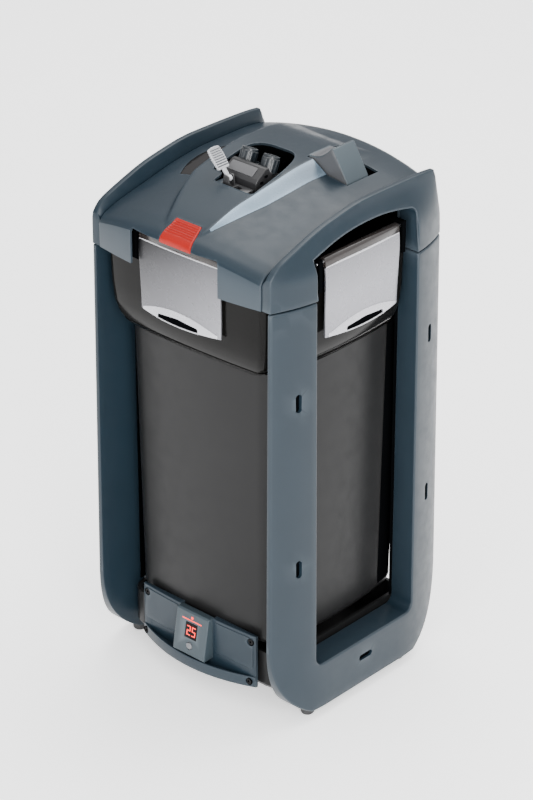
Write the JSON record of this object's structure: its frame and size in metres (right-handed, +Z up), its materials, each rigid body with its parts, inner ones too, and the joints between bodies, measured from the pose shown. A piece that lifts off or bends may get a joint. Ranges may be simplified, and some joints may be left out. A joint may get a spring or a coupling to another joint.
{
  "type": "canister filter",
  "caption": "Tall canister filter standing in two side frames, with a latched pump head, hose adapter, priming button and a control panel at its foot.",
  "frame": {"origin": "on the floor, under the middle of the overall box", "axes": "+Z up, -Y towards the front with the control panel, +X to the right"},
  "size_m": [0.3478, 0.344, 0.7272],
  "materials": {
    "shell": "blue-grey moulded plastic, fine satin grain",
    "canister": "dark grey translucent plastic, smooth satin",
    "smoked": "glossy smoked plastic",
    "black": "black moulded plastic",
    "silver": "satin silver paint on plastic",
    "orange": "red-orange moulded plastic",
    "adapter": "mid-grey moulded plastic",
    "grey": "light grey moulded plastic",
    "steel": "brushed stainless steel",
    "ceramic": "unglazed ceramic",
    "rubber": "black rubber",
    "blue_foam": "open-cell blue foam",
    "white_wool": "white filter wool",
    "display": "dark red display window",
    "red_lamp": "red lamp lens",
    "blue_lamp": "blue lamp lens"
  },
  "bodies": {
    "base": {"left_frame": "shell", "right_frame": "shell", "foot_front_left": "rubber", "foot_front_right": "rubber", "foot_rear_left": "rubber", "foot_rear_right": "rubber", "base_tray": "canister", "canister": "canister", "canister_collar": "smoked", "control_panel": "shell", "panel_screw_1": "black", "panel_screw_2": "black", "panel_screw_3": "black", "panel_screw_4": "black", "display_pod": "shell", "display_window": "display", "status_led": "red_lamp", "heater_ring": "steel", "temperature_sensor": "steel", "riser_tube": "grey", "media_basket_lower": "grey", "media_basket_middle": "grey", "media_basket_upper": "grey", "bio_media": "ceramic", "coarse_pad": "blue_foam", "fine_pad": "white_wool", "basket_lid": "grey", "prefilter_basket": "grey", "prefilter_pad": "blue_foam"},
    "set_key": {"set_button": "silver"},
    "head": {"head_body": "black", "head_gasket": "rubber", "head_cover": "shell", "left_cheek": "shell", "right_cheek": "shell", "indicator_window": "smoked", "indicator_led": "blue_lamp", "stator_block": "black", "impeller_shaft": "ceramic", "lower_bushing": "rubber", "upper_bushing": "rubber", "pump_chamber_cover": "grey", "priming_spring": "steel", "latch_pin_front": "steel", "latch_pin_right": "steel", "latch_pin_back": "steel", "latch_pin_left": "steel"},
    "rotor": {"impeller": "ceramic"},
    "front_latch": {"latch_front": "silver"},
    "right_latch": {"latch_right": "silver"},
    "back_latch": {"latch_back": "silver"},
    "left_latch": {"latch_left": "silver"},
    "primer": {"priming_button": "orange"},
    "adapter": {"hose_adapter": "adapter", "lever_pin": "steel"},
    "left_union": {"hose_union_left": "black"},
    "right_union": {"hose_union_right": "black"},
    "lever": {"adapter_lever": "silver"},
    "regulator": {"flow_regulator": "shell"}
  },
  "joints": [
    {"name": "head_lift", "type": "slide", "parent": "base", "child": "head", "axis": [0, 0, 1], "range_m": [0, 0.2]},
    {"name": "front_latch_swing", "type": "hinge", "parent": "head", "child": "front_latch", "pos_m": [0, -0.152, 0.637], "axis": [-1, 0, 0], "range_deg": [0, 65]},
    {"name": "right_latch_swing", "type": "hinge", "parent": "head", "child": "right_latch", "pos_m": [0.152, 0, 0.637], "axis": [0, -1, 0], "range_deg": [0, 65]},
    {"name": "back_latch_swing", "type": "hinge", "parent": "head", "child": "back_latch", "pos_m": [0, 0.152, 0.637], "axis": [1, 0, 0], "range_deg": [0, 65]},
    {"name": "left_latch_swing", "type": "hinge", "parent": "head", "child": "left_latch", "pos_m": [-0.152, 0, 0.637], "axis": [0, 1, 0], "range_deg": [0, 65]},
    {"name": "impeller_spin", "type": "hinge", "parent": "head", "child": "rotor", "pos_m": [0, 0, 0.63], "axis": [0, 0, 1], "continuous": true},
    {"name": "primer_press", "type": "slide", "parent": "head", "child": "primer", "axis": [0, 0, -1], "range_m": [0, 0.004], "stiffness_N_per_m": 300, "springref_m": -0.004, "deforming": ["priming_spring"]},
    {"name": "set_press", "type": "slide", "parent": "base", "child": "set_key", "axis": [0, 1, 0], "range_m": [0, 0.0015], "stiffness_N_per_m": 150, "springref_m": -0.002},
    {"name": "adapter_lift", "type": "slide", "parent": "head", "child": "adapter", "axis": [0, 0, 1], "range_m": [0, 0.06]},
    {"name": "left_union_turn", "type": "hinge", "parent": "adapter", "child": "left_union", "pos_m": [-0.024, -0.012, 0.696], "axis": [0, 0.4067, 0.9135], "range_deg": [0, 180]},
    {"name": "right_union_turn", "type": "hinge", "parent": "adapter", "child": "right_union", "pos_m": [0.012, -0.012, 0.696], "axis": [0, 0.4067, 0.9135], "range_deg": [0, 180]},
    {"name": "lever_turn", "type": "hinge", "parent": "adapter", "child": "lever", "pos_m": [-0.013, -0.055, 0.693], "axis": [0, 1, 0], "range_deg": [-20, 70]},
    {"name": "regulator_slide", "type": "slide", "parent": "head", "child": "regulator", "axis": [0, 1, 0], "range_m": [0, 0.012]}
  ]
}
